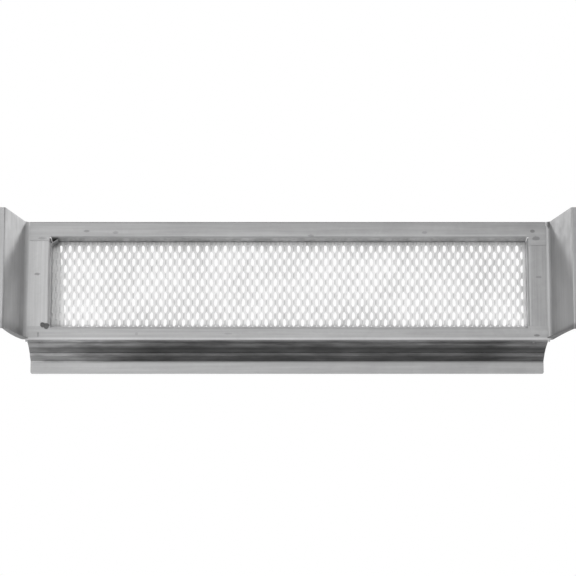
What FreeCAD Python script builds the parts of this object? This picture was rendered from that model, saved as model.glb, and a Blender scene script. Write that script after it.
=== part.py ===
"""Eave vent: a galvanised frame with an expanded-metal screen, fixed between two rafters.

Four folded sheets make the frame: a head rail, a sill with a stepped cove and a wall flange, and two
end plates whose ears come forward to lie along the rafters. The screen lies in the recess behind them.
X runs across the vent, Y runs back towards the wall, and Z is up. The origin is in the middle of the
wall flange's back face. All sizes are in millimetres.
"""
import FreeCAD, Part
import math
import os

os.makedirs("parts", exist_ok=True)

# Sheet, fits and bends along the sheet's middle line
sheet = 0.8
lap_gap = 0.1
corner_gap = 0.3
screen_gap = 0.5
seat_gap = 0.05
tight_bend = 1.0
face_bend = 2.6
bend_share = 0.95
free_corner = 2.0

# Face of the frame
face_width = 559.0
head_height = 16.5
window_height = 98.0
sill_height = 16.0
window_width = 508.0
window_shift = 1.5
recess_depth = 20.0

# Head rail
head_end_gap = 4.2
top_return = 12.0
head_catch = 2.4
left_tab_drop = 4.0
right_tab_drop = 9.0
tab_margin = 1.5

# Sill, its stepped cove and its wall flange
sill_end_gap = 3.8
sill_catch = 4.0
cove_bend = 11.0
cove_top_depth = 9.0
cove_top_drop = 0.6
cove_depth = 12.5
cove_drop = 8.6
step_depth = 2.5
step_drop = 0.4
riser_depth = 0.3
riser_drop = 3.2
drip_depth = 8.7
drip_drop = 3.8
flange_height = 14.0
left_trim = 2.2
right_trim = 3.4
trim_bow = 0.7

# End plates
ear_reach = 59.0
left_flare = 17.0
right_flare = 18.2
ear_bend = 6.0
ear_return = 6.0
ear_return_bend = 1.4
left_root_rise = 2.4
left_middle_rise = 0.2
left_front_rise = 1.0
right_root_rise = 1.8
right_middle_rise = 1.6
right_front_rise = 0.2
lip_setback = 7.0
lip_root = 8.0
lip_front = 4.0
rail_end_gap = 4.0
side_catch = 3.0
gusset_width = 8.0
gusset_drop = 5.5

# Clinches that hold the laps
clinch_radius = 1.8
clinch_depth = 0.3
clinch_inset = 14.8
sill_clinch_rise = 7.4
left_clinch_rise = 9.5
right_clinch_rise = 6.5
button_radius = 2.1
button_height = 1.2
button_setback = 4.4
button_inset = 18.5
punch_length = 8.7
punch_height = 5.6
punch_offset = 5.0
punch_rise = 1.2

# Expanded-metal screen
screen_thickness = 0.9
screen_border = 1.6
cell_width = 12.0
row_pitch = 9.0
strand_width = 1.6

# Places worked out from the sizes above
y_wall = -sheet / 2
y_face = y_wall - cove_depth - step_depth - riser_depth - drip_depth
y_rail = y_face + sheet + lap_gap
y_seat = y_face + recess_depth
z_flange_top = flange_height / 2
z_fold = z_flange_top + drip_drop + riser_drop + step_drop + cove_drop
z_sill = z_fold + sill_height
z_head = z_sill + window_height
z_top = z_head + head_height
head_half = face_width / 2 - head_end_gap
sill_half = face_width / 2 - sill_end_gap
clinch_x = face_width / 2 - clinch_inset
ear_root = face_width / 2 + sheet / 2
ear_bottom = z_fold - sheet / 2
ear_tip = y_rail - ear_reach
screen_back = y_seat - sheet / 2 - seat_gap
screen_front = screen_back - screen_thickness
beyond = face_width


def window_edge(side):
    """Distance from the middle of the vent to the window's left (-1) or right (1) edge."""
    return window_width / 2 + side * window_shift


def fitted_reaches(middle, radii):
    """How far each bend reaches along its runs, drawn in where two bends would meet on one run."""
    runs = [(b - a) for a, b in zip(middle, middle[1:])]
    turns = [a.getAngle(b) for a, b in zip(runs, runs[1:])]
    reaches = [0.0] + [r * math.tan(turn / 2) for r, turn in zip(radii, turns)] + [0.0]
    fitted = list(reaches)
    for i, run in enumerate(runs):
        share = min(1.0, bend_share * run.Length / max(reaches[i] + reaches[i + 1], lap_gap))
        fitted[i] = min(fitted[i], reaches[i] * share)
        fitted[i + 1] = min(fitted[i + 1], reaches[i + 1] * share)
    return fitted[1:-1]


def sheet_side(middle, reaches, offset, place):
    """Edges of one side of a folded sheet, offset to the left of its middle line."""
    up = FreeCAD.Vector(0, 0, 1)
    edges = []
    start = middle[0] + up.cross((middle[1] - middle[0]).normalize()) * offset
    for before, corner, after, reach in zip(middle, middle[1:], middle[2:], reaches):
        way_in = (corner - before).normalize()
        way_out = (after - corner).normalize()
        left_in = up.cross(way_in)
        left_out = up.cross(way_out)
        hand = math.copysign(1.0, way_in.cross(way_out).z)
        radius = reach / math.tan(way_in.getAngle(way_out) / 2)
        centre = corner - way_in * reach + left_in * (hand * radius)
        bend_start = corner - way_in * reach + left_in * offset
        bend_end = corner + way_out * reach + left_out * offset
        bend_middle = centre + (corner - centre).normalize() * (radius - hand * offset)
        edges.append(Part.LineSegment(place(start), place(bend_start)).toShape())
        edges.append(Part.Arc(place(bend_start), place(bend_middle), place(bend_end)).toShape())
        start = bend_end
    last = middle[-1] + up.cross((middle[-1] - middle[-2]).normalize()) * offset
    edges.append(Part.LineSegment(place(start), place(last)).toShape())
    return edges


def folded_sheet(points, radii, place, length):
    """Sheet bent along a line of points, with one bend radius for each inner point."""
    middle = [FreeCAD.Vector(a, b, 0) for a, b in points]
    reaches = fitted_reaches(middle, radii)
    left = sheet_side(middle, reaches, sheet / 2, place)
    right = sheet_side(middle, reaches, -sheet / 2, place)
    caps = [
        Part.LineSegment(left[0].Vertexes[0].Point, right[0].Vertexes[0].Point).toShape(),
        Part.LineSegment(left[-1].Vertexes[-1].Point, right[-1].Vertexes[-1].Point).toShape(),
    ]
    outline = Part.Wire(Part.__sortEdges__(left + right + caps))
    return Part.Face(outline).extrude(length)


def box(x0, x1, y0, y1, z0, z1):
    """Box between two opposite corners."""
    return Part.makeBox(x1 - x0, y1 - y0, z1 - z0, FreeCAD.Vector(x0, y0, z0))


def rounded_corner(shape, x, z, radius):
    """Round the sheet's corner edge that runs through its thickness at the given place."""
    edges = [e for e in shape.Edges if is_corner(e, x, z)]
    return shape.makeFillet(radius, edges)


def is_corner(edge, x, z):
    """True for a straight edge along Y at the given X and Z."""
    ends = [v.Point for v in edge.Vertexes]
    near = all(abs(p.x - x) < lap_gap and abs(p.z - z) < lap_gap for p in ends)
    return near and len(ends) == 2 and abs(ends[0].y - ends[1].y) > sheet / 2


def clinch(x, z, front):
    """Round pocket that a clinching punch leaves in a sheet whose front face is at the given Y."""
    base = FreeCAD.Vector(x, front - sheet, z)
    return Part.makeCylinder(clinch_radius, sheet + clinch_depth, base, FreeCAD.Vector(0, 1, 0))


def flat_ends(rail, end, z_lip, z_tangent, catch):
    """Replace a rail's window lip by flat sheet on both sides of the window, out to the rail's ends."""
    towards_window = math.copysign(1.0, z_lip - z_tangent)
    cleared = sorted((z_tangent, z_lip + towards_window * (catch + sheet)))
    filled = sorted((z_tangent, z_lip + towards_window * sheet / 2))
    front = y_face - sheet / 2
    for side in (-1, 1):
        near = side * (window_edge(side) - corner_gap)
        x0, x1 = sorted((near, side * beyond))
        rail = rail.cut(box(x0, x1, front - sheet, beyond, *cleared))
        x0, x1 = sorted((near, side * end))
        rail = rail.fuse(box(x0, x1, front, front + sheet, *filled))
    return rail


def head_rail():
    """Top rail: a return along the top, the face, the window's upper lip and the screen's catch."""
    points = [
        (y_face + top_return, z_top),
        (y_face, z_top),
        (y_face, z_head),
        (y_seat, z_head),
        (y_seat, z_head - head_catch),
    ]
    radii = [tight_bend, face_bend, tight_bend]
    rail = folded_sheet(
        points,
        radii,
        lambda p: FreeCAD.Vector(-head_half, p.x, p.y),
        FreeCAD.Vector(2 * head_half, 0, 0),
    )
    rail = flat_ends(rail, head_half, z_head, z_head + face_bend, head_catch)
    front = y_face - sheet / 2
    for side, drop in ((-1, left_tab_drop), (1, right_tab_drop)):
        near = window_edge(side) + tab_margin
        x0, x1 = sorted((side * near, side * head_half))
        rail = rail.fuse(box(x0, x1, front, front + sheet, z_head - drop, z_head + face_bend))
    rail = rail.removeSplitter()
    for side in (-1, 1):
        rail = rail.cut(clinch(side * clinch_x, z_head, front))
    return rail


def cove_points():
    """Middle line of the stepped cove, from the fold under the face to the flange's top bend."""
    top = (y_face + cove_top_depth, z_fold - cove_top_drop)
    foot = (y_face + cove_depth, z_fold - cove_drop)
    step = (foot[0] + step_depth, foot[1] - step_drop)
    riser = (step[0] + riser_depth, step[1] - riser_drop)
    return [(y_face, z_fold), top, foot, step, riser, (y_wall, z_flange_top)]


def end_trimmer(side, trim):
    """Block with a concave side that trims one end of the cove and the flange."""
    x_top = side * sill_half
    x_low = side * (sill_half - trim)
    x_far = side * beyond
    z_bottom = -flange_height
    z_bow = (z_fold + z_flange_top) / 2
    y0 = y_face - sheet
    corners = [(x_low, z_flange_top), (x_low, z_bottom), (x_far, z_bottom), (x_far, z_fold), (x_top, z_fold)]
    corners = [FreeCAD.Vector(x, y0, z) for x, z in corners]
    bow = FreeCAD.Vector(side * (sill_half - trim * trim_bow), y0, z_bow)
    edges = [Part.LineSegment(a, b).toShape() for a, b in zip(corners, corners[1:])]
    edges.append(Part.Arc(corners[-1], bow, corners[0]).toShape())
    return Part.Face(Part.Wire(edges)).extrude(FreeCAD.Vector(0, beyond, 0))


def sill():
    """Bottom rail: the screen's catch, the window's lower lip, the face, the cove and the flange."""
    points = [(y_seat, z_sill + sill_catch), (y_seat, z_sill), (y_face, z_sill)]
    points += cove_points()
    points += [(y_wall, -flange_height / 2)]
    radii = [tight_bend, face_bend, face_bend, cove_bend, tight_bend, tight_bend, tight_bend, tight_bend]
    rail = folded_sheet(
        points,
        radii,
        lambda p: FreeCAD.Vector(-sill_half, p.x, p.y),
        FreeCAD.Vector(2 * sill_half, 0, 0),
    )
    rail = flat_ends(rail, sill_half, z_sill, z_sill - face_bend, sill_catch)
    for side, trim in ((-1, left_trim), (1, right_trim)):
        rail = rail.cut(end_trimmer(side, trim))
        x_corner = side * (sill_half - trim)
        rail = rounded_corner(rail, x_corner, -flange_height / 2, free_corner)
    for side in (-1, 1):
        rail = rail.cut(clinch(side * clinch_x, z_fold + sill_clinch_rise, y_face - sheet / 2))
        x = side * (face_width / 2 - button_inset)
        foot = FreeCAD.Vector(x, y_face + button_setback, z_fold - button_height - sheet / 2)
        rail = rail.fuse(Part.makeCylinder(button_radius, button_height + sheet / 2, foot))
    return rail.cut(mirrored(punch_mark())).removeSplitter()


def ear_edge(rises, lift):
    """Arc of an ear's lower edge seen from the side, from the rail to the front, raised by the lift."""
    places = (y_rail, y_rail - ear_reach / 2, ear_tip - sheet)
    points = [FreeCAD.Vector(0, y, ear_bottom + rise + lift) for y, rise in zip(places, rises)]
    return Part.Arc(*points).toShape()


def ear_band(rises, low, high, x0, x1):
    """Solid between the ear's lower edge moved down by low and moved up by high, across X."""
    edges = [ear_edge(rises, -low), ear_edge(rises, high)]
    for y, rise in ((y_rail, rises[0]), (ear_tip - sheet, rises[-1])):
        foot = FreeCAD.Vector(0, y, ear_bottom + rise - low)
        edges.append(Part.LineSegment(foot, foot + FreeCAD.Vector(0, 0, low + high)).toShape())
    face = Part.Face(Part.Wire(Part.__sortEdges__(edges)))
    face.translate(FreeCAD.Vector(x0, 0, 0))
    return face.extrude(FreeCAD.Vector(x1 - x0, 0, 0))


def ear_lip(flare, rises):
    """Lip turned in along the ear's lower edge, widest near the rail."""
    run = FreeCAD.Vector(flare, -ear_reach, 0).normalize()
    inward = FreeCAD.Vector(0, 0, 1).cross(run) * -1
    root = FreeCAD.Vector(ear_root, y_rail, 0)
    near = root + run * lip_setback
    far = root + FreeCAD.Vector(flare, -ear_reach, 0) - run * (ear_return_bend + sheet)
    corners = [near, far, far + inward * (lip_front - free_corner)]
    corners += [far + inward * lip_front - run * free_corner, near + inward * lip_root, near]
    plan = Part.Face(Part.makePolygon(corners)).extrude(FreeCAD.Vector(0, 0, z_top))
    return plan.common(ear_band(rises, 0, sheet, 0, beyond))


def end_plate(side, flare, rises, clinch_rise):
    """End plate as it stands on the right: catch, window lip, side rail, ear and the ear's return."""
    edge = window_edge(side)
    lip = edge + sheet / 2
    points = [
        (edge - side_catch, y_seat),
        (lip, y_seat),
        (lip, y_rail),
        (ear_root, y_rail),
        (ear_root + flare, ear_tip),
        (ear_root + flare + ear_return, ear_tip),
    ]
    radii = [tight_bend, face_bend, ear_bend, ear_return_bend]
    z_ear_top = z_top + sheet / 2
    plate = folded_sheet(
        points,
        radii,
        lambda p: FreeCAD.Vector(p.x, p.y, ear_bottom),
        FreeCAD.Vector(0, 0, z_ear_top - ear_bottom),
    )
    behind = y_rail - sheet / 2 - lap_gap / 2
    seat_front = y_seat - sheet / 2 - lap_gap / 2
    low, high = z_sill + sheet / 2 + corner_gap, z_head - sheet / 2 - corner_gap
    catch_low, catch_high = z_sill + sill_catch + corner_gap, z_head - head_catch - corner_gap
    clearances = (
        (lip + face_bend, behind, -beyond, low),
        (lip + face_bend, behind, high, beyond),
        (head_half + corner_gap, behind, z_top - rail_end_gap, beyond),
        (sill_half + corner_gap, behind, -beyond, z_fold + rail_end_gap),
        (edge, seat_front, -beyond, catch_low),
        (edge, seat_front, catch_high, beyond),
    )
    for x1, y0, z0, z1 in clearances:
        plate = plate.cut(box(0, x1, y0, beyond, z0, z1))
    plate = plate.cut(ear_band(rises, z_fold, 0, ear_root - ear_bend / 2, beyond))
    plate = plate.fuse(ear_lip(flare, rises)).removeSplitter()
    z_clinch = (z_sill + z_head) / 2 + clinch_rise
    return plate.cut(clinch((edge + ear_root) / 2, z_clinch, y_rail - sheet / 2))


def corner_gusset():
    """Diagonal fold at the window's upper left corner, drawn as if on the right."""
    edge = window_edge(-1)
    z_high = z_head - sheet / 2 - corner_gap
    run = FreeCAD.Vector(-gusset_width, 0, gusset_drop).normalize()
    root = FreeCAD.Vector(edge + sheet / 2, y_rail + face_bend + sheet / 2, z_high - gusset_drop)
    tip = root + run * (math.hypot(gusset_width, gusset_drop) - sheet)
    across = FreeCAD.Vector(0, 1, 0).cross(run) * sheet
    face = Part.Face(Part.makePolygon([root, tip, tip - across, root - across, root]))
    depth = screen_front - screen_gap - root.y
    return face.extrude(FreeCAD.Vector(0, depth, 0))


def punch_mark():
    """Slot-shaped blow of a punch beside the window's lower left corner, drawn as if on the right."""
    x = window_edge(-1) + punch_offset
    z = z_sill + punch_rise
    y0 = y_face - sheet
    depth = y_rail - sheet / 2 + clinch_depth - y0
    half = (punch_length - punch_height) / 2
    radius = punch_height / 2
    slot = box(x - half, x + half, y0, y0 + depth, z - radius, z + radius)
    for end in (x - half, x + half):
        base = FreeCAD.Vector(end, y0, z)
        slot = slot.fuse(Part.makeCylinder(radius, depth, base, FreeCAD.Vector(0, 1, 0)))
    return slot


def mirrored(shape):
    """The shape as it stands on the other side of the vent's middle."""
    return shape.mirror(FreeCAD.Vector(0, 0, 0), FreeCAD.Vector(1, 0, 0))


def left_end():
    """Left end plate, with its corner gusset and the punch mark."""
    rises = (left_root_rise, left_middle_rise, left_front_rise)
    plate = end_plate(-1, left_flare, rises, left_clinch_rise)
    plate = plate.fuse(corner_gusset()).cut(punch_mark()).removeSplitter()
    return mirrored(plate)


def right_end():
    """Right end plate."""
    rises = (right_root_rise, right_middle_rise, right_front_rise)
    return end_plate(1, right_flare, rises, right_clinch_rise)


def diamond(x, z):
    """Flat diamond opening of the screen, centred at the given place."""
    slope = math.hypot(cell_width / 2, row_pitch)
    inset_x = strand_width / 2 * slope / row_pitch
    inset_z = strand_width / 2 * slope / (cell_width / 2)
    half_x = cell_width / 2 - inset_x
    half_z = row_pitch - inset_z
    corners = [(x - half_x, z), (x, z + half_z), (x + half_x, z), (x, z - half_z), (x - half_x, z)]
    return Part.Face(Part.makePolygon([FreeCAD.Vector(a, screen_front, b) for a, b in corners]))


def rectangle(x0, x1, z0, z1):
    """Flat rectangle in the plane of the screen's front."""
    corners = [(x0, z0), (x1, z0), (x1, z1), (x0, z1), (x0, z0)]
    return Part.Face(Part.makePolygon([FreeCAD.Vector(a, screen_front, b) for a, b in corners]))


def screen():
    """Expanded-metal screen: rows of diamonds, each row half a cell from the next, cut by a border."""
    x0, x1 = screen_gap - window_edge(-1), window_edge(1) - screen_gap
    z0, z1 = z_sill + sheet / 2 + screen_gap, z_head - sheet / 2 - screen_gap
    field = rectangle(x0 + screen_border, x1 - screen_border, z0 + screen_border, z1 - screen_border)
    x_middle, z_middle = (x0 + x1) / 2, (z0 + z1) / 2
    rows = math.ceil((z1 - z0) / 2 / row_pitch)
    columns = math.ceil((x1 - x0) / 2 / cell_width)
    openings = []
    for row in range(-rows, rows + 1):
        shift = cell_width / 2 * (row % 2)
        for column in range(-columns - 1, columns + 1):
            cell = diamond(x_middle + column * cell_width + shift, z_middle + row * row_pitch)
            if not field.BoundBox.isInside(cell.BoundBox):
                cell = cell.common(field)
            openings += [face.OuterWire for face in cell.Faces if face.Area > strand_width ** 2]
    outline = rectangle(x0, x1, z0, z1).OuterWire
    plate = Part.makeFace([outline] + openings, "Part::FaceMakerBullseye")
    return plate.extrude(FreeCAD.Vector(0, screen_thickness, 0))


PARTS = {
    "head_rail": head_rail,
    "sill": sill,
    "left_end": left_end,
    "right_end": right_end,
    "screen": screen,
}

for name, build in PARTS.items():
    shape = build()
    solid = shape.Solids[0] if len(shape.Solids) == 1 else shape
    solid.exportStep("parts/" + name + ".step")
    print(name, len(shape.Solids), "solid", round(shape.Volume), "mm3", shape.isValid())
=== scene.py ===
"""Looks of the eave vent: galvanised sheet, an expanded-metal screen, plain light and a white background.

Lengths are in metres. X runs across the vent, Y runs back towards the wall, and Z is up.
"""
import math
import random

import bmesh
import bpy
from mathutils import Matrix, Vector, noise


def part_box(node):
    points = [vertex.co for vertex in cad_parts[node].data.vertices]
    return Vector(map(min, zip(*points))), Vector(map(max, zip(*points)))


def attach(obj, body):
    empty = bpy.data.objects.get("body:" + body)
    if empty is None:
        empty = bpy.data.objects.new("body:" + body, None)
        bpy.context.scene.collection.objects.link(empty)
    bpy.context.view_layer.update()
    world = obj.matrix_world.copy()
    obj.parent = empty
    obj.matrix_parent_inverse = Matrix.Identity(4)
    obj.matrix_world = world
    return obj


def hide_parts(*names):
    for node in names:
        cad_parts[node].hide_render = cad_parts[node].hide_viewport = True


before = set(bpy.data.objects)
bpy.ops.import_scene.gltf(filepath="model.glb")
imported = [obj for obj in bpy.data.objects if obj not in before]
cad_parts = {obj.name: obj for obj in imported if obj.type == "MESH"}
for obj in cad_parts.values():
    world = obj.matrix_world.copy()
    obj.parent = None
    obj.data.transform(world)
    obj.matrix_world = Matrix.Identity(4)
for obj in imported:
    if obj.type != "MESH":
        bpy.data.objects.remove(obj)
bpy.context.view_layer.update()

# Camera, from the photograph: a long lens a little below the vent
CAMERA_DISTANCE = 3.4
CAMERA_PITCH = math.radians(14.0)
CAMERA_LENS = 200.0
SENSOR = 36.0
AIM_X = 0.0004
AIM_Z = 0.0809

# Floor far below the vent: pale paint, lifted towards white by a share for the camera and in reflections
FLOOR_DROP = 1.15
FLOOR_RADIUS = 14.0
FLOOR_SIDES = 96
FLOOR_GREY = (0.8, 0.8, 0.8, 1.0)
FLOOR_ROUGHNESS = 0.7
FLOOR_GRAIN = 2.0
FLOOR_RANGE = (0.98, 1.02)
FLOOR_LIFT = 0.65
FLOOR_GLOSS = 0.15

# World's strength to the camera, in reflections and for everything else
WORLD_WHITE = 1.0
WORLD_GLOSS = 0.6
WORLD_FILL = 0.29

# Lamps, each with its name, place, width, height and power in watts
LAMP_AIM = (0.0, 0.0, 0.08)
LAMPS = (
    ("key_left", (-1.2, 0.95, 1.25), 0.5, 0.3, 34.0),
    ("key_right", (1.2, 0.95, 1.25), 0.5, 0.3, 34.0),
    ("front", (-0.5, -2.6, 0.45), 1.4, 0.9, 13.0),
    ("front_left", (-1.15, -1.65, 0.55), 0.6, 0.6, 5.5),
    ("front_low", (0.0, -1.5, -0.52), 1.8, 0.25, 9.0),
)

# Expanded metal, from the photograph's lattice
CELL_WIDTH = 0.00977
ROW_PITCH = 0.00738
BOND_LENGTH = 0.0038
BOND_SPACING = 0.0027
STRAND_WIDTH = 0.0037
STRAND_THICK = 0.0008
STRAND_TWIST = math.radians(12.0)
STRAND_LEAN = 0.75
RINGS_PER_DWELL = 3
RINGS_PER_SLANT = 4
SPARE_ROWS = 2

# Strand's section in shares of its half width and half thickness, with eased corners
SECTION_FLAT = 0.8
SECTION_EDGE = 0.5
SECTION_FRONT = (
    (-1, -SECTION_EDGE),
    (-SECTION_FLAT, -1),
    (0, -1),
    (SECTION_FLAT, -1),
    (1, -SECTION_EDGE),
)
SECTION_BACK = ((1, SECTION_EDGE), (SECTION_FLAT, 1), (-SECTION_FLAT, 1), (-1, SECTION_EDGE))

# Small unevenness of the lattice across the vent: slow waves and a random share of them
SEED = 7
WANDER = 0.00022
WANDER_RANDOM = 0.2
WAVES_UP = 210
WAVES_ACROSS = 37

# Unexpanded margin behind the lattice's edges, wider at the left and most of all at its foot
MARGIN = 0.0034
MARGIN_THICK = 0.0006
LEFT_MARGIN_TOP = 0.0080
LEFT_MARGIN_FOOT = 0.0150

# Dark bead of metal in the punch mark: each lobe's X, Z and radius, and how lumpy and flat they are
BEAD_LOBES = ((-0.2598, 0.0407, 0.0026), (-0.2559, 0.0392, 0.0031))
BEAD_SUBDIVISIONS = 3
BEAD_LUMPS = 0.45
BEAD_LUMP_SCALE = 520.0
BEAD_FLATNESS = 0.25

# Colours and finishes
WHITE = (1.0, 1.0, 1.0, 1.0)
STEEL = (0.345, 0.345, 0.348, 1.0)
# The left end plate's lighter grey is painted light falling on the left side
STEEL_LEFT = (0.42, 0.42, 0.423, 1.0)
STEEL_RIGHT = (0.34, 0.34, 0.343, 1.0)
STEEL_MESH = (0.92, 0.92, 0.92, 1.0)
# Grey of the painted shade in the window's upper left corner
CORNER_SHADE_GREY = (0.19, 0.19, 0.19, 1.0)
BEAD_GREY = (0.11, 0.11, 0.11, 1.0)
# Grey of the painted shade in the dark marks and along the ears' feet
SHADE_GREY = (0.08, 0.08, 0.08, 1.0)
SHEET_METALLIC = 0.45
SHEET_ROUGHNESS = 0.45
MESH_METALLIC = 0.1
BEAD_METALLIC = 0.3
ROUGH_FINISH = 0.6


def node_size(name):
    """Lowest and highest corner of a CAD node as two vectors."""
    low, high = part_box(name)
    return Vector(low), Vector(high)


HEAD_LOW, HEAD_HIGH = node_size("head_rail")
SILL_LOW, SILL_HIGH = node_size("sill")
SCREEN_LOW, SCREEN_HIGH = node_size("screen")
LEFT_LOW = node_size("left_end")[0]
RIGHT_LOW, RIGHT_HIGH = node_size("right_end")

# Noise patterns, each with its scale, detail and roughness, and the values between which they mostly lie
NOISE_DETAIL = 3.0
NOISE_ROUGHNESS = 0.55
STREAK_NOISE = (1.0, 4.0, 0.6)
CLOUD_NOISE = (26.0, 4.0, 0.6)
WIDE_NOISE = (6.0, 2.0, 0.5)
GRAIN_NOISE = (900.0, 2.0, 0.5)
NOISE_SPAN = (0.3, 0.7)
NARROW_SPAN = (0.35, 0.65)
FULL_SPAN = (0.0, 1.0)

# Sockets of a Mix node that take its two colours and give the mixed one
MIX_FIRST = 6
MIX_SECOND = 7
MIX_RESULT = 2


class Nodes:
    """Short way to add and link shader nodes in one tree."""

    def __init__(self, tree):
        self.tree = tree
        tree.nodes.clear()

    def add(self, kind, inputs=None, **settings):
        node = self.tree.nodes.new(kind)
        for key, value in settings.items():
            setattr(node, key, value)
        for key, value in (inputs or {}).items():
            self.plug(value, node.inputs[key])
        return node

    def plug(self, value, socket):
        if isinstance(value, bpy.types.NodeSocket):
            self.tree.links.new(value, socket)
        else:
            socket.default_value = value

    def math(self, operation, a, b=0.0, clamp=False):
        node = self.add("ShaderNodeMath", {0: a, 1: b}, operation=operation)
        node.use_clamp = clamp
        return node.outputs[0]

    def times(self, value, *factors):
        for factor in factors:
            value = self.math("MULTIPLY", value, factor)
        return value

    def plus(self, value, *others):
        for other in others:
            value = self.math("ADD", value, other)
        return value

    def linear(self, value, low, high, to_low=0.0, to_high=1.0, shape="LINEAR"):
        inputs = {"Value": value, "From Min": low, "From Max": high, "To Min": to_low, "To Max": to_high}
        return self.add("ShaderNodeMapRange", inputs, interpolation_type=shape).outputs["Result"]

    def smooth(self, value, low, high, to_low=0.0, to_high=1.0):
        return self.linear(value, low, high, to_low, to_high, "SMOOTHSTEP")

    def spread(self, value, ends, span=NOISE_SPAN):
        """A pattern's values within the span, spread over the range between two ends."""
        return self.linear(value, *span, *ends)

    def split(self, vector):
        return self.add("ShaderNodeSeparateXYZ", {"Vector": vector}).outputs

    def scaled(self, vector, scale):
        inputs = {0: vector, 1: scale}
        return self.add("ShaderNodeVectorMath", inputs, operation="MULTIPLY").outputs[0]

    def noise(self, vector, scale, detail=NOISE_DETAIL, roughness=NOISE_ROUGHNESS):
        inputs = {"Vector": vector, "Scale": scale, "Detail": detail, "Roughness": roughness}
        return self.add("ShaderNodeTexNoise", inputs).outputs["Fac"]

    def blend(self, factor, a, b):
        node = self.add("ShaderNodeMix", data_type="RGBA")
        self.plug(factor, node.inputs[0])
        self.plug(a, node.inputs[MIX_FIRST])
        self.plug(b, node.inputs[MIX_SECOND])
        return node.outputs[MIX_RESULT]

    def tinted(self, colour, amount):
        """The colour made lighter or darker by an amount that varies over the surface."""
        node = self.add("ShaderNodeVectorMath", operation="SCALE")
        colour = colour if isinstance(colour, bpy.types.NodeSocket) else colour[:3]
        self.plug(colour, node.inputs[0])
        self.plug(amount, node.inputs["Scale"])
        return node.outputs[0]

    def band(self, value, centre, half_width):
        """1 at the centre, falling to 0 at the half width on both sides."""
        gap = self.math("ABSOLUTE", self.math("SUBTRACT", value, centre))
        return self.smooth(gap, 0.0, half_width, 1.0, 0.0)

    def facing(self, axis):
        """Component of the face's direction along X, Y or Z."""
        return self.split(self.add("ShaderNodeNewGeometry").outputs["True Normal"])[axis]

    def spot(self, position, centre, radius, softness):
        """1 inside a ball round the centre, falling to 0 over the softness."""
        gap = self.add("ShaderNodeVectorMath", {0: position, 1: centre}, operation="DISTANCE")
        return self.smooth(gap.outputs["Value"], radius, radius + softness, 1.0, 0.0)

    def end(self, shader, kind="ShaderNodeOutputMaterial"):
        """Send a shader to the tree's output."""
        self.plug(shader.outputs[0], self.add(kind).inputs["Surface"])


def new_material(name):
    """Empty material, the helper for its nodes and the place on the object."""
    material = bpy.data.materials.new(name)
    material.use_nodes = True
    n = Nodes(material.node_tree)
    return material, n, n.add("ShaderNodeTexCoord").outputs["Object"]


# Zinc: scales of its patterns, how far each one varies the brightness, and its roughness and bump
STREAKS_ALONG = 12.0
STREAKS_ACROSS = 420.0
SPANGLE_SCALE = 150.0
STREAK_RANGE = (0.90, 1.10)
CLOUD_RANGE = (0.90, 1.08)
WIDE_RANGE = (0.94, 1.05)
SPANGLE_RANGE = (0.965, 1.035)
SMOOTHER = 0.05
ROUGHER = 0.07
SPANGLE_ROUGHNESS = (-0.03, 0.03)
BUMP_CLOUD = 0.7
BUMP_GRAIN = 0.12
BUMP_STREAK = 0.1
BUMP_STRENGTH = 0.22
BUMP_DISTANCE = 0.0006


def streaks(n, place, along):
    """Noise drawn out along one direction."""
    stretch = tuple(STREAKS_ALONG if axis == along else STREAKS_ACROSS for axis in "XYZ")
    return n.noise(n.scaled(place, stretch), *STREAK_NOISE)


def galvanised(name, along, base=STEEL, metallic=SHEET_METALLIC, roughness=SHEET_ROUGHNESS, extra=None):
    """Zinc-coated sheet: spangle, cloudy patches and faint streaks along one direction."""
    material, n, place = new_material(name)
    streak = streaks(n, place, along)
    cloud = n.noise(place, *CLOUD_NOISE)
    wide = n.noise(place, *WIDE_NOISE)
    grain = n.noise(place, *GRAIN_NOISE)
    cells = n.add("ShaderNodeTexVoronoi", {"Vector": place, "Scale": SPANGLE_SCALE, "Randomness": 1.0})
    spangle = n.add("ShaderNodeSeparateColor", {"Color": cells.outputs["Color"]}).outputs[0]
    shade = n.times(
        n.spread(streak, STREAK_RANGE),
        n.spread(cloud, CLOUD_RANGE),
        n.spread(wide, WIDE_RANGE, NARROW_SPAN),
        n.spread(spangle, SPANGLE_RANGE, FULL_SPAN),
    )
    colour = n.tinted(base, shade)
    rough = n.spread(cloud, (roughness - SMOOTHER, roughness + ROUGHER))
    rough = n.plus(rough, n.spread(spangle, SPANGLE_ROUGHNESS, FULL_SPAN))
    if extra:
        colour = extra(n, place, colour)
    height = n.plus(n.times(cloud, BUMP_CLOUD), n.times(grain, BUMP_GRAIN), n.times(streak, BUMP_STREAK))
    relief = {"Height": height, "Strength": BUMP_STRENGTH, "Distance": BUMP_DISTANCE}
    bump = n.add("ShaderNodeBump", relief).outputs[0]
    finish = {"Base Color": colour, "Roughness": rough, "Metallic": metallic, "Normal": bump}
    n.end(n.add("ShaderNodeBsdfPrincipled", finish))
    return material


# Edges of a dark mark, painted shade of a clinch dimple, seam or gap: scale and range of their
# raggedness, and where they fade
SHADE_MARK_SCALE = 700.0
SHADE_MARK_RANGE = (0.55, 1.3)
SHADE_MARK_FADE = (0.3, 1.3)


def shade_marks(n, place, colour, datum, marks):
    """Soft dark marks of painted shade: X, height over the datum, half width, half height and depth of
    grey.
    """
    axes = n.split(place)
    ragged = n.spread(n.noise(place, SHADE_MARK_SCALE), SHADE_MARK_RANGE)
    for x, height, half_width, half_height, depth in marks:
        dx = n.math("DIVIDE", n.math("SUBTRACT", axes["X"], x), half_width)
        dz = n.math("DIVIDE", n.math("SUBTRACT", axes["Z"], datum + height), half_height)
        gap = n.times(n.plus(n.times(dx, dx), n.times(dz, dz)), ragged)
        colour = n.blend(n.smooth(gap, *SHADE_MARK_FADE, depth, 0.0), colour, SHADE_GREY)
    return colour
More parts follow.
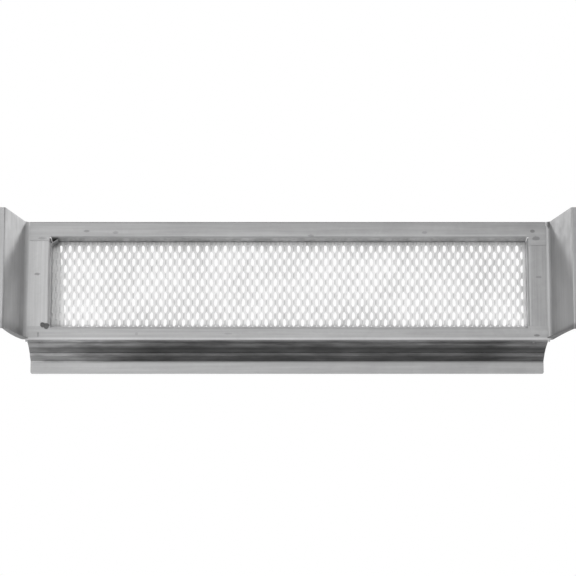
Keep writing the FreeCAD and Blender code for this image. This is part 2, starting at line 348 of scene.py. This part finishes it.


# Painted shade in the window's upper left corner: a soft dark ball behind the face, drawn out along Y by
# the squash
CORNER_SHADE_SQUASH = (1.0, 0.4, 1.0)
CORNER_SHADE_INSET = 0.0025
CORNER_SHADE_FORWARD = 0.0085
CORNER_SHADE_RISE = 0.0005
CORNER_SHADE_RADIUS = 0.0048
CORNER_SHADE_SOFTNESS = 0.0042
CORNER_SHADE_STARTS = 0.0003
CORNER_SHADE_FULL = 0.0016
CORNER_SHADE_SCALE = 260.0
CORNER_SHADE_RANGE = (0.85, 1.0)


def corner_shade(n, place, colour):
    """The colour with painted shade in the window's upper left corner."""
    behind_face = n.smooth(n.split(place)["Y"], HEAD_LOW.y + CORNER_SHADE_STARTS, HEAD_LOW.y + CORNER_SHADE_FULL)
    x = SCREEN_LOW.x + CORNER_SHADE_INSET
    y = (SCREEN_LOW.y - CORNER_SHADE_FORWARD) * CORNER_SHADE_SQUASH[1]
    centre = (x, y, SCREEN_HIGH.z + CORNER_SHADE_RISE)
    near = n.spot(n.scaled(place, CORNER_SHADE_SQUASH), centre, CORNER_SHADE_RADIUS, CORNER_SHADE_SOFTNESS)
    uneven = n.spread(n.noise(place, CORNER_SHADE_SCALE), CORNER_SHADE_RANGE)
    return n.blend(n.times(near, behind_face, uneven), colour, CORNER_SHADE_GREY)


# Head rail: painted shade in a strip under its top fold, painted light on the lip inside the window, and
# its clinching marks as painted shade of their dimples
HEAD_FOLD_SHADE = 0.91
HEAD_FOLD_SHADE_STARTS = 0.012
HEAD_FOLD_SHADE_FULL = 0.002
LIP_STARTS = 0.002
LIP_FULL = 0.005
LIP_DOWNWARD = (-0.5, -0.1)
LIP_STRETCH = (150.0, 40.0, 40.0)
LIP_RANGE = (0.95, 1.40)
HEAD_MARKS = (
    (-0.2620, -0.0182, 0.0044, 0.0015, 0.30),
    (-0.2143, -0.0104, 0.0032, 0.0014, 0.42),
    (-0.1835, -0.0120, 0.0030, 0.0018, 0.30),
    (0.0248, -0.0154, 0.0036, 0.0012, 0.40),
    (0.1460, -0.0120, 0.0030, 0.0016, 0.30),
    (0.2612, -0.0106, 0.0026, 0.0019, 0.55),
    (0.2651, -0.0185, 0.0046, 0.0024, 0.45),
)


def head_marks(n, place, colour):
    """Top rail with painted shade towards its upper fold, painted light inside the window, and clinching
    marks painted as the shade of their dimples.
    """
    top = HEAD_HIGH.z
    axes = n.split(place)
    shaded_strip = n.linear(axes["Z"], top - HEAD_FOLD_SHADE_STARTS, top - HEAD_FOLD_SHADE_FULL, 1.0, HEAD_FOLD_SHADE)
    inside = n.smooth(axes["Y"], HEAD_LOW.y + LIP_STARTS, HEAD_LOW.y + LIP_FULL)
    inside = n.times(inside, n.smooth(n.facing("Z"), *LIP_DOWNWARD, 1.0, 0.0))
    lip_light = n.spread(n.noise(n.scaled(place, LIP_STRETCH), 1.0), LIP_RANGE, NARROW_SPAN)
    colour = n.tinted(colour, n.times(shaded_strip, n.blend(inside, WHITE, lip_light)))
    return corner_shade(n, place, shade_marks(n, place, colour, top, HEAD_MARKS))


# Painted shade: the sill's underside is darkened in its colour, with blotches and streaks, and painted
# light lifts its ends
# Cove: how far in and how much its ends are lighter, and the share of its brightness that it keeps. Each
# fade is a pair of heights over the flange's lower edge, between which that share changes
COVE_LEFT_REACH = 0.15
COVE_RIGHT_REACH = 0.06
COVE_LEFT_GAIN = 1.9
COVE_RIGHT_GAIN = 0.8
COVE_DEEPEST = (0.05, 0.085)
UPPER_FADE = (0.0290, 0.0240)
UPPER_LIGHT = 0.24
LOWER_FADE = (0.0225, 0.0200)
LOWER_LIGHT = 0.08
FOOT_FADE = (0.0200, 0.0155)
FOOT_LIGHT = 0.07
ABOVE_FADE = (0.0302, 0.0318)
BELOW_FADE = (0.0152, 0.0106)
BLOTCH_STRETCH = (26.0, 110.0, 110.0)
BLOTCH_NOISE = (1.0, 3.0, 0.6)
BLOTCH_RANGE = (0.8, 2.1)
COVE_STREAK_RANGE = (0.85, 1.15)


def cove_shade(n, place):
    """Painted shade: brightness that the sheet keeps, from the face (1) down the dark cove to the flange
    (1).
    """
    axes = n.split(place)
    height = n.math("SUBTRACT", axes["Z"], SILL_LOW.z)
    left = n.smooth(axes["X"], SILL_LOW.x, SILL_LOW.x + COVE_LEFT_REACH, 1.0, 0.0)
    right = n.smooth(axes["X"], SILL_HIGH.x - COVE_RIGHT_REACH, SILL_HIGH.x)
    upper = n.smooth(height, *UPPER_FADE, UPPER_LIGHT, n.spread(left, COVE_DEEPEST, FULL_SPAN))
    lower = n.smooth(height, *LOWER_FADE, 0.0, LOWER_LIGHT)
    foot = n.times(left, n.smooth(height, *FOOT_FADE, 0.0, FOOT_LIGHT))
    blotch = n.spread(n.noise(n.scaled(place, BLOTCH_STRETCH), *BLOTCH_NOISE), BLOTCH_RANGE)
    streak = n.spread(streaks(n, place, "X"), COVE_STREAK_RANGE)
    ends = n.plus(n.times(left, COVE_LEFT_GAIN), n.times(right, COVE_RIGHT_GAIN), 1.0)
    dark = n.times(n.plus(upper, lower, foot), blotch, streak, ends)
    above = n.smooth(height, *ABOVE_FADE)
    below = n.smooth(height, *BELOW_FADE)
    return n.math("MAXIMUM", dark, n.plus(above, below), clamp=True)


# Sill: painted highlights along its edges, by height over the flange's lower edge, and small marks on its
# face as painted shade of dimples
FOLD_HEIGHT = 0.0330
FOLD_HALF = 0.0016
FOLD_HIGHLIGHT = 0.35
EDGE_HEIGHT = 0.0456
EDGE_HALF = 0.0020
EDGE_HIGHLIGHT = 0.85
EDGE_STARTS = 0.004
EDGE_ENDS = 0.002
HIGHLIGHT_FRONT = 0.002
HIGHLIGHT_BACK = 0.004
FACE_HEIGHT = 0.0370
SILL_MARKS = (
    (-0.2643, 0.0003, 0.0013, 0.0030, 0.40),
    (-0.1600, 0.0010, 0.0020, 0.0016, 0.22),
    (-0.0630, 0.0010, 0.0045, 0.0012, 0.22),
    (0.2640, -0.0008, 0.0034, 0.0013, 0.55),
)


def sill_marks(n, place, colour):
    """Painted shade on the streaky underside, painted highlights along the edges at the fold and the
    window, and small marks on its face as painted shade of dimples.
    """
    colour = n.tinted(colour, cove_shade(n, place))
    axes = n.split(place)
    fold = n.times(n.band(axes["Z"], SILL_LOW.z + FOLD_HEIGHT, FOLD_HALF), FOLD_HIGHLIGHT)
    side = n.math("ABSOLUTE", axes["X"])
    in_window = n.smooth(side, SCREEN_HIGH.x - EDGE_STARTS, SCREEN_HIGH.x - EDGE_ENDS, EDGE_HIGHLIGHT, 0.0)
    edge = n.times(n.band(axes["Z"], SILL_LOW.z + EDGE_HEIGHT, EDGE_HALF), in_window)
    in_front = n.smooth(axes["Y"], SILL_LOW.y + HIGHLIGHT_FRONT, SILL_LOW.y + HIGHLIGHT_BACK, 1.0, 0.0)
    colour = n.tinted(colour, n.plus(n.times(n.plus(fold, edge), in_front), 1.0))
    return shade_marks(n, place, colour, SILL_LOW.z + FACE_HEIGHT, SILL_MARKS)


# End plates: painted light on the recess walls, painted shade along the ears' lower edges and on the left
# front return, and marks on the rails and at the right upper corner as painted shade of dimples and a gap
RECESS_STARTS = 0.004
RECESS_FULL = 0.010
WINDOW_INSIDE = 0.001
WINDOW_OUTSIDE = 0.003
INWARD = (-0.1, -0.02)
RECESS_GAIN = 2.0
EAR_STARTS = 0.004
EAR_FULL = 0.001
FOOT_SHARE = 0.4
FOOT_SCALE = 120.0
FOOT_RANGE = (0.7, 1.0)
LEFT_FOOT = 0.016
LEFT_FOOT_DEPTH = 0.36
RIGHT_FOOT = 0.0085
RIGHT_FOOT_DEPTH = 0.75
RETURN_SHADE = 0.82
RETURN_FULL = 0.001
RETURN_ENDS = 0.004
LEFT_MARKS = ((-0.2664, 0.0739, 0.0034, 0.0014, 0.50),)
RIGHT_MARKS = ((0.2672, 0.0706, 0.0034, 0.0013, 0.32),)
RIGHT_GAP_SHADE = ((0.2785, -0.0030, 0.0016, 0.0050, 0.80),)


def end_shade(n, place, colour, low, height, depth):
    """An end plate's colour: painted shade along the ear's lower edge and painted light on the recess
    wall.
    """
    axes = n.split(place)
    in_recess = n.smooth(axes["Y"], HEAD_LOW.y + RECESS_STARTS, HEAD_LOW.y + RECESS_FULL)
    side = n.math("ABSOLUTE", axes["X"])
    in_window = n.smooth(side, SCREEN_HIGH.x + WINDOW_INSIDE, SCREEN_HIGH.x + WINDOW_OUTSIDE, 1.0, 0.0)
    inward = n.smooth(n.times(n.facing("X"), axes["X"]), *INWARD, 1.0, 0.0)
    wall = n.times(in_recess, in_window, inward)
    colour = n.tinted(colour, n.linear(wall, 0.0, 1.0, 1.0, RECESS_GAIN))
    in_front = n.smooth(axes["Y"], HEAD_LOW.y - EAR_STARTS, HEAD_LOW.y - EAR_FULL, 1.0, 0.0)
    foot = n.smooth(axes["Z"], low + height * FOOT_SHARE, low + height, depth, 0.0)
    patchy = n.spread(n.noise(place, FOOT_SCALE), FOOT_RANGE, NARROW_SPAN)
    return n.blend(n.times(in_front, foot, patchy), colour, SHADE_GREY)


def left_marks(n, place, colour):
    """Painted shade at a clinch dimple, on the front return, along the ear's foot and in the window's
    upper corner.
    """
    colour = shade_marks(n, place, colour, LEFT_LOW.z, LEFT_MARKS)
    depth = n.split(place)["Y"]
    shaded_strip = n.smooth(depth, LEFT_LOW.y + RETURN_FULL, LEFT_LOW.y + RETURN_ENDS, RETURN_SHADE, 1.0)
    colour = n.tinted(colour, shaded_strip)
    colour = end_shade(n, place, colour, LEFT_LOW.z, LEFT_FOOT, LEFT_FOOT_DEPTH)
    return corner_shade(n, place, colour)


def right_marks(n, place, colour):
    """Painted shade at a clinch dimple in the right rail, in the gap at its upper outer corner and along
    the ear's foot.
    """
    colour = shade_marks(n, place, colour, RIGHT_LOW.z, RIGHT_MARKS)
    colour = shade_marks(n, place, colour, RIGHT_HIGH.z, RIGHT_GAP_SHADE)
    return end_shade(n, place, colour, RIGHT_LOW.z, RIGHT_FOOT, RIGHT_FOOT_DEPTH)


# Screen, painted shade: brightness kept under the top rail, up its height, at its sides, on its back and
# at the bonds
UNDER_RAIL = 0.66
UNDER_RAIL_REACH = 0.014
AT_TOP = 0.90
AT_LEFT = 0.72
AT_LEFT_STARTS = 0.006
AT_LEFT_ENDS = 0.020
AT_RIGHT = 0.80
AT_RIGHT_STARTS = 0.012
AT_RIGHT_ENDS = 0.003
ON_BACK = 0.5
BACKWARD = (0.1, 0.6)
AT_BOND = 0.72


def mesh_shade(n, place, colour):
    """Painted shade on the screen at its bonds, under the top rail, at its sides and on its back, lighter
    towards its foot.
    """
    x, _, z = n.split(place)
    bond = n.add("ShaderNodeAttribute", attribute_name="bond").outputs["Fac"]
    shade = n.times(
        n.smooth(z, SCREEN_HIGH.z - UNDER_RAIL_REACH, SCREEN_HIGH.z, 1.0, UNDER_RAIL),
        n.linear(z, SCREEN_LOW.z, SCREEN_HIGH.z, 1.0, AT_TOP),
        n.linear(x, SCREEN_LOW.x + AT_LEFT_STARTS, SCREEN_LOW.x + AT_LEFT_ENDS, AT_LEFT, 1.0),
        n.linear(x, SCREEN_HIGH.x - AT_RIGHT_STARTS, SCREEN_HIGH.x - AT_RIGHT_ENDS, 1.0, AT_RIGHT),
        n.smooth(n.facing("Y"), *BACKWARD, 1.0, ON_BACK),
        n.linear(bond, 0.0, 1.0, 1.0, AT_BOND),
    )
    return corner_shade(n, place, n.tinted(colour, shade))


def floor_material():
    """Matt paint whose grey varies a little, lifted towards white for the camera and reflections."""
    material, n, place = new_material("floor_paint")
    colour = n.tinted(FLOOR_GREY, n.spread(n.noise(place, FLOOR_GRAIN), FLOOR_RANGE))
    paint = n.add("ShaderNodeBsdfPrincipled", {"Base Color": colour, "Roughness": FLOOR_ROUGHNESS})
    glow = n.add("ShaderNodeEmission", {"Color": WHITE, "Strength": WORLD_WHITE})
    path = n.add("ShaderNodeLightPath").outputs
    lift = n.math(
        "MAXIMUM",
        n.linear(path["Is Glossy Ray"], 0.0, 1.0, 0.0, FLOOR_GLOSS),
        n.linear(path["Is Camera Ray"], 0.0, 1.0, 0.0, FLOOR_LIFT),
    )
    lifted = n.add("ShaderNodeMixShader", {0: lift, 1: paint.outputs[0], 2: glow.outputs[0]})
    clear = n.add("ShaderNodeBsdfTransparent")
    back = n.add("ShaderNodeNewGeometry").outputs["Backfacing"]
    n.end(n.add("ShaderNodeMixShader", {0: back, 1: lifted.outputs[0], 2: clear.outputs[0]}))
    return material


def eased(t):
    """Smooth step from 0 to 1."""
    return t * t * (3 - 2 * t)


def strand_path(index, rows, x0, y0, z0):
    """Points up one slit strand, which dwells beside each neighbour in turn, each with its bond side."""
    sway = CELL_WIDTH / 4 - BOND_SPACING / 2
    lean = math.tan(STRAND_TWIST) * STRAND_LEAN
    stations = []
    for row in range(rows + 1):
        side = 1 if (row + index) % 2 else -1
        z_row = z0 + row * ROW_PITCH
        for i in range(RINGS_PER_DWELL):
            z = z_row + BOND_LENGTH * (i / (RINGS_PER_DWELL - 1) - 0.5)
            stations.append((Vector((side * sway, side * sway * lean, z)), side))
        for i in range(1, RINGS_PER_SLANT):
            t = i / RINGS_PER_SLANT
            swing = side * (1 - 2 * eased(t)) * sway
            z = z_row + BOND_LENGTH / 2 + (ROW_PITCH - BOND_LENGTH) * t
            stations.append((Vector((swing, swing * lean, z)), 0))
    return [(point + Vector((x0, y0, 0)), side) for point, side in stations]


def add_ribbon(bm, bond_layer, path, z_low, z_high):
    """Closed ribbon of strand section along a path, kept between two heights."""
    across = Vector((math.cos(STRAND_TWIST), math.sin(STRAND_TWIST), 0)) * (STRAND_WIDTH / 2)
    through = Vector((-math.sin(STRAND_TWIST), math.cos(STRAND_TWIST), 0)) * (STRAND_THICK / 2)
    section = SECTION_FRONT + SECTION_BACK
    rings = []
    for point, side in path:
        if not z_low <= point.z <= z_high:
            continue
        ring = [bm.verts.new(point + across * a + through * b) for a, b in section]
        for vert, (a, b) in zip(ring, section):
            vert[bond_layer] = max(0.0, a * side)
        rings.append(ring)
    if len(rings) < 2:
        return
    for low, high in zip(rings, rings[1:]):
        for i in range(len(section)):
            j = (i + 1) % len(section)
            bm.faces.new((low[i], low[j], high[j], high[i]))
    bm.faces.new(rings[0][::-1])
    bm.faces.new(rings[-1])


def add_margin(bm, inner, outer, y0, y1):
    """Flat frame between two four-cornered outlines, given as (x, z) corners in the same order."""
    loops = []
    for corners in (inner, outer):
        for y in (y0, y1):
            loops.append([bm.verts.new((x, y, z)) for x, z in corners])
    inner_front, inner_back, outer_front, outer_back = loops
    flats = ((inner_front, outer_front), (outer_back, inner_back))
    edges = ((inner_back, inner_front), (outer_front, outer_back))
    for a, b in flats + edges:
        for i in range(len(a)):
            j = (i + 1) % len(a)
            bm.faces.new((a[i], a[j], b[j], b[i]))


def to_object(bm, name):
    """The mesh built so far as a new object in the scene."""
    mesh = bpy.data.meshes.new(name)
    bm.to_mesh(mesh)
    bm.free()
    item = bpy.data.objects.new(name, mesh)
    bpy.context.collection.objects.link(item)
    return item


def expanded_screen():
    """The screen as strands slit from one sheet and pulled apart, with an unexpanded margin."""
    rng = random.Random(SEED)
    bm = bmesh.new()
    bond_layer = bm.verts.layers.float.new("bond")
    pitch = CELL_WIDTH / 2
    x0, x1 = SCREEN_LOW.x, SCREEN_HIGH.x
    z0, z1 = SCREEN_LOW.z, SCREEN_HIGH.z
    strands = int((x1 - x0) / pitch) + 1
    x_first = (x0 + x1) / 2 - (strands - 1) * pitch / 2
    rows = int((z1 - z0) / ROW_PITCH) + SPARE_ROWS
    z_first = (z0 + z1) / 2 - rows * ROW_PITCH / 2
    depth = CELL_WIDTH / 4 * math.tan(STRAND_TWIST) + STRAND_WIDTH / 2 * math.sin(STRAND_TWIST)
    y = SCREEN_HIGH.y - MARGIN_THICK - depth
    for i in range(strands):
        add_ribbon(bm, bond_layer, strand_path(i, rows, x_first + i * pitch, y, z_first), z0, z1)
    for v in bm.verts:
        v.co.x += rng.uniform(-1, 1) * WANDER * WANDER_RANDOM
        v.co.x += WANDER * math.sin(v.co.z * WAVES_UP + v.co.x * WAVES_ACROSS)
        v.co.x = min(max(v.co.x, x0), x1)
    outer = ((x0, z0), (x1, z0), (x1, z1), (x0, z1))
    inner = (
        (x0 + LEFT_MARGIN_FOOT, z0 + MARGIN),
        (x1 - MARGIN, z0 + MARGIN),
        (x1 - MARGIN, z1 - MARGIN),
        (x0 + LEFT_MARGIN_TOP, z1 - MARGIN),
    )
    add_margin(bm, inner, outer, SCREEN_HIGH.y - MARGIN_THICK, SCREEN_HIGH.y)
    bmesh.ops.recalc_face_normals(bm, faces=bm.faces)
    return to_object(bm, "screen_strands")


def punch_bead():
    """Flat, uneven lobes of dark metal over the punch mark."""
    bm = bmesh.new()
    for x, z, radius in BEAD_LOBES:
        ball = bmesh.ops.create_icosphere(bm, subdivisions=BEAD_SUBDIVISIONS, radius=radius)
        for v in ball["verts"]:
            v.co *= 1.0 + BEAD_LUMPS * noise.noise((v.co + Vector((x, 0, z))) * BEAD_LUMP_SCALE)
            v.co.y *= BEAD_FLATNESS
            v.co += Vector((x, HEAD_LOW.y, z))
    return to_object(bm, "punch_bead")


def give(name, material):
    """Put one material on a CAD node."""
    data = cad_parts[name].data
    data.materials.clear()
    data.materials.append(material)


def add_floor():
    """Round pale floor below the vent, which can be seen only from above."""
    bm = bmesh.new()
    bmesh.ops.create_circle(bm, cap_ends=True, segments=FLOOR_SIDES, radius=FLOOR_RADIUS)
    floor = to_object(bm, "floor")
    floor.location.z = SILL_LOW.z - FLOOR_DROP
    floor.data.materials.append(floor_material())


def add_world():
    """White to the camera, softer in reflections, and a weak even fill for everything else."""
    world = bpy.data.worlds.new("studio")
    bpy.context.scene.world = world
    world.use_nodes = True
    n = Nodes(world.node_tree)
    path = n.add("ShaderNodeLightPath").outputs
    seen = n.math("MAXIMUM", path["Is Camera Ray"], path["Is Transmission Ray"])
    indirect = n.linear(path["Is Glossy Ray"], 0.0, 1.0, WORLD_FILL, WORLD_GLOSS)
    strength = n.linear(seen, 0.0, 1.0, indirect, WORLD_WHITE)
    n.end(n.add("ShaderNodeBackground", {"Color": WHITE, "Strength": strength}), "ShaderNodeOutputWorld")


def add_lamp(name, place, width, height, power):
    """Soft rectangular lamp that faces the vent and isn't seen itself."""
    data = bpy.data.lights.new(name, "AREA")
    data.shape = "RECTANGLE"
    data.size = width
    data.size_y = height
    data.energy = power
    lamp = bpy.data.objects.new(name, data)
    lamp.location = place
    lamp.rotation_mode = "QUATERNION"
    lamp.rotation_quaternion = (Vector(LAMP_AIM) - Vector(place)).to_track_quat("-Z", "Y")
    lamp.visible_camera = False
    bpy.context.collection.objects.link(lamp)


def add_camera():
    """Camera at the photograph's angle and framing."""
    data = bpy.data.cameras.new("camera")
    data.lens = CAMERA_LENS
    data.sensor_width = SENSOR
    data.dof.use_dof = False
    camera = bpy.data.objects.new("camera", data)
    back = Vector((0, -math.cos(CAMERA_PITCH), -math.sin(CAMERA_PITCH)))
    camera.location = Vector((AIM_X, HEAD_LOW.y, AIM_Z)) + back * CAMERA_DISTANCE
    camera.rotation_mode = "QUATERNION"
    camera.rotation_quaternion = (-back).to_track_quat("-Z", "Y")
    bpy.context.collection.objects.link(camera)
    bpy.context.scene.camera = camera


bpy.context.scene.view_settings.view_transform = "Standard"
add_camera()
add_world()
add_floor()
for lamp in LAMPS:
    add_lamp(*lamp)

give("head_rail", galvanised("head_sheet", "X", extra=head_marks))
give("sill", galvanised("sill_sheet", "X", extra=sill_marks))
give("left_end", galvanised("left_sheet", "Z", base=STEEL_LEFT, extra=left_marks))
give("right_end", galvanised("right_sheet", "Z", base=STEEL_RIGHT, extra=right_marks))

mesh_steel = galvanised("screen_steel", "Z", STEEL_MESH, MESH_METALLIC, ROUGH_FINISH, mesh_shade)
screen = expanded_screen()
screen.data.materials.append(mesh_steel)
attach(screen, "root")
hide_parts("screen")

bead = punch_bead()
bead.data.materials.append(galvanised("dark_bead_steel", "X", BEAD_GREY, BEAD_METALLIC, ROUGH_FINISH))
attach(bead, "root")
